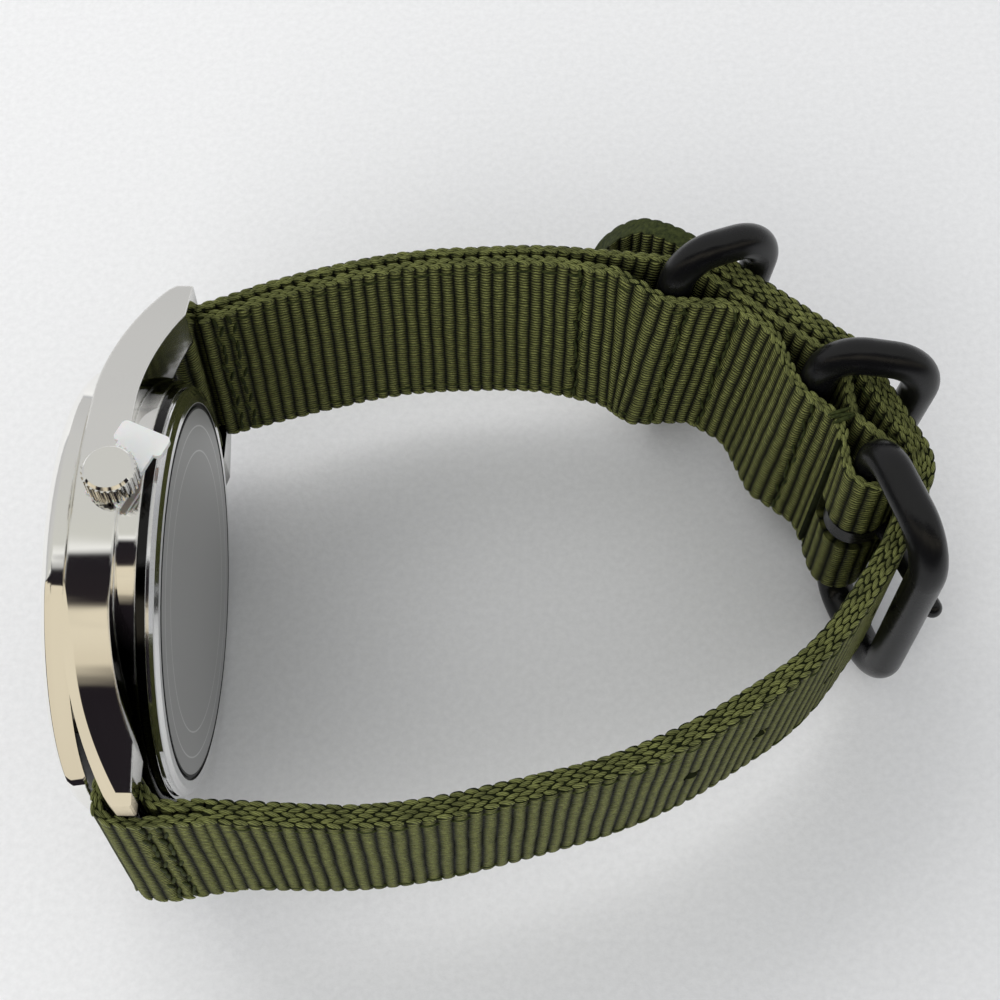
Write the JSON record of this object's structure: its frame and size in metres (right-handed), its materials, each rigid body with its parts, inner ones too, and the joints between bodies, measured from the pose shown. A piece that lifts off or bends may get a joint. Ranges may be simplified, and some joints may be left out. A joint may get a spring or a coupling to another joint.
{
  "type": "field watch",
  "caption": "Three-hand field watch with a polished round case, press-fit back and crown stopper, on a woven nylon strap closed by a black prong buckle and two keeper rings",
  "frame": {"origin": "the centre of the case back's outer face", "axes": "+X from the dial to the wrist, along the strap's loop; +Y to 12 o'clock; +Z to the crown, which is up as the watch stands on its 9 o'clock flank"},
  "size_m": [0.0755, 0.0626, 0.0417],
  "materials": {
    "polished_steel": "polished",
    "brushed_steel": "brushed disc in a polished rim",
    "bar_steel": "satin",
    "mineral_glass": "clear",
    "gasket_rubber": "matte",
    "dial_black": "matte",
    "hand_white": "satin",
    "stopper_plastic": "translucent",
    "holder_plastic": "matte",
    "plate_brass": "satin",
    "bridge_nickel": "satin",
    "board_green": "matte",
    "cell_steel": "satin",
    "coil_copper": "enamelled wire",
    "olive_nylon": "ribbed weave",
    "black_coating": "satin"
  },
  "bodies": {
    "case": {"mid_case": "polished_steel", "bezel": "polished_steel", "crystal": "mineral_glass", "crystal_gasket": "gasket_rubber", "chapter_ring": "dial_black", "dial": "dial_black", "caseback": "brushed_steel", "caseback_gasket": "gasket_rubber", "crown_tube": "bar_steel", "movement_holder": "holder_plastic", "movement_plate": "plate_brass", "circuit_board": "board_green", "train_bridge": "bridge_nickel", "battery": "cell_steel", "coil": "coil_copper", "spring_bar_12_tube": "bar_steel", "spring_bar_6_tube": "bar_steel", "short_strap_outer_run": "olive_nylon", "short_strap_inner_run": "olive_nylon", "long_strap": "olive_nylon"},
    "stem": {"stem": "bar_steel"},
    "crown": {"crown": "polished_steel", "crown_gasket": "gasket_rubber"},
    "hour_hand": {"hour_hand": "hand_white"},
    "minute_hand": {"minute_hand": "hand_white"},
    "second_hand": {"second_hand": "hand_white"},
    "crown_stopper": {"crown_stopper": "stopper_plastic"},
    "keeper_ring_1": {"keeper_ring_1": "black_coating"},
    "keeper_ring_2": {"keeper_ring_2": "black_coating"},
    "buckle_frame": {"buckle_frame": "black_coating"},
    "buckle_prong": {"buckle_prong": "black_coating"},
    "spring_bar_12_tip_crown_side": {"spring_bar_12_tip_crown_side": "bar_steel"},
    "spring_bar_12_tip_far_side": {"spring_bar_12_tip_far_side": "bar_steel"},
    "spring_bar_6_tip_crown_side": {"spring_bar_6_tip_crown_side": "bar_steel"},
    "spring_bar_6_tip_far_side": {"spring_bar_6_tip_far_side": "bar_steel"}
  },
  "joints": [
    {"name": "crown_pull", "type": "slide", "parent": "case", "child": "stem", "axis": [0, 0, 1], "range_m": [-0.0002, 0]},
    {"name": "crown_spin", "type": "hinge", "parent": "stem", "child": "crown", "pos_m": [-0.0037, 0, 0.021], "axis": [0, 0, 1], "continuous": true},
    {"name": "hour_hand_turn", "type": "hinge", "parent": "case", "child": "hour_hand", "pos_m": [-0.0068, 0, 0], "axis": [1, 0, 0], "continuous": true},
    {"name": "minute_hand_turn", "type": "hinge", "parent": "case", "child": "minute_hand", "pos_m": [-0.0071, 0, 0], "axis": [1, 0, 0], "continuous": true},
    {"name": "second_hand_turn", "type": "hinge", "parent": "case", "child": "second_hand", "pos_m": [-0.0074, 0, 0], "axis": [1, 0, 0], "continuous": true},
    {"name": "stopper_slide", "type": "slide", "parent": "case", "child": "crown_stopper", "axis": [0.4067, 0.9135, 0], "range_m": [0, 0.008]},
    {"name": "ring_1_swing", "type": "hinge", "parent": "case", "child": "keeper_ring_1", "pos_m": [0.0545, 0.0176, 0], "axis": [0.0868, -0.0076, 0.9962], "range_deg": [-1, 30]},
    {"name": "ring_2_swing", "type": "hinge", "parent": "case", "child": "keeper_ring_2", "pos_m": [0.0418, 0.0271, 0], "axis": [0.1109, 0.0505, 0.9925], "range_deg": [-2, 35]},
    {"name": "buckle_swing", "type": "hinge", "parent": "case", "child": "buckle_frame", "pos_m": [0.0593, 0.0086, 0], "axis": [0, 0, 1], "range_deg": [-1.5, 1.5]},
    {"name": "prong_swing", "type": "hinge", "parent": "buckle_frame", "child": "buckle_prong", "pos_m": [0.0593, 0.0086, 0], "axis": [0, 0, 1], "range_deg": [0, 2]},
    {"name": "spring_bar_12_tip_crown_side_slide", "type": "slide", "parent": "case", "child": "spring_bar_12_tip_crown_side", "axis": [0, 0, 1], "range_m": [-0.00125, 0], "stiffness_N_per_m": 200, "springref_m": 0.001},
    {"name": "spring_bar_12_tip_far_side_slide", "type": "slide", "parent": "case", "child": "spring_bar_12_tip_far_side", "axis": [0, 0, -1], "range_m": [-0.00125, 0], "stiffness_N_per_m": 200, "springref_m": 0.001},
    {"name": "spring_bar_6_tip_crown_side_slide", "type": "slide", "parent": "case", "child": "spring_bar_6_tip_crown_side", "axis": [0, 0, 1], "range_m": [-0.00125, 0], "stiffness_N_per_m": 200, "springref_m": 0.001},
    {"name": "spring_bar_6_tip_far_side_slide", "type": "slide", "parent": "case", "child": "spring_bar_6_tip_far_side", "axis": [0, 0, -1], "range_m": [-0.00125, 0], "stiffness_N_per_m": 200, "springref_m": 0.001}
  ],
  "couplings": [
    {"joint": "minute_hand_turn", "follows": "crown_spin", "ratio": 0.36},
    {"joint": "hour_hand_turn", "follows": "crown_spin", "ratio": 0.03}
  ]
}
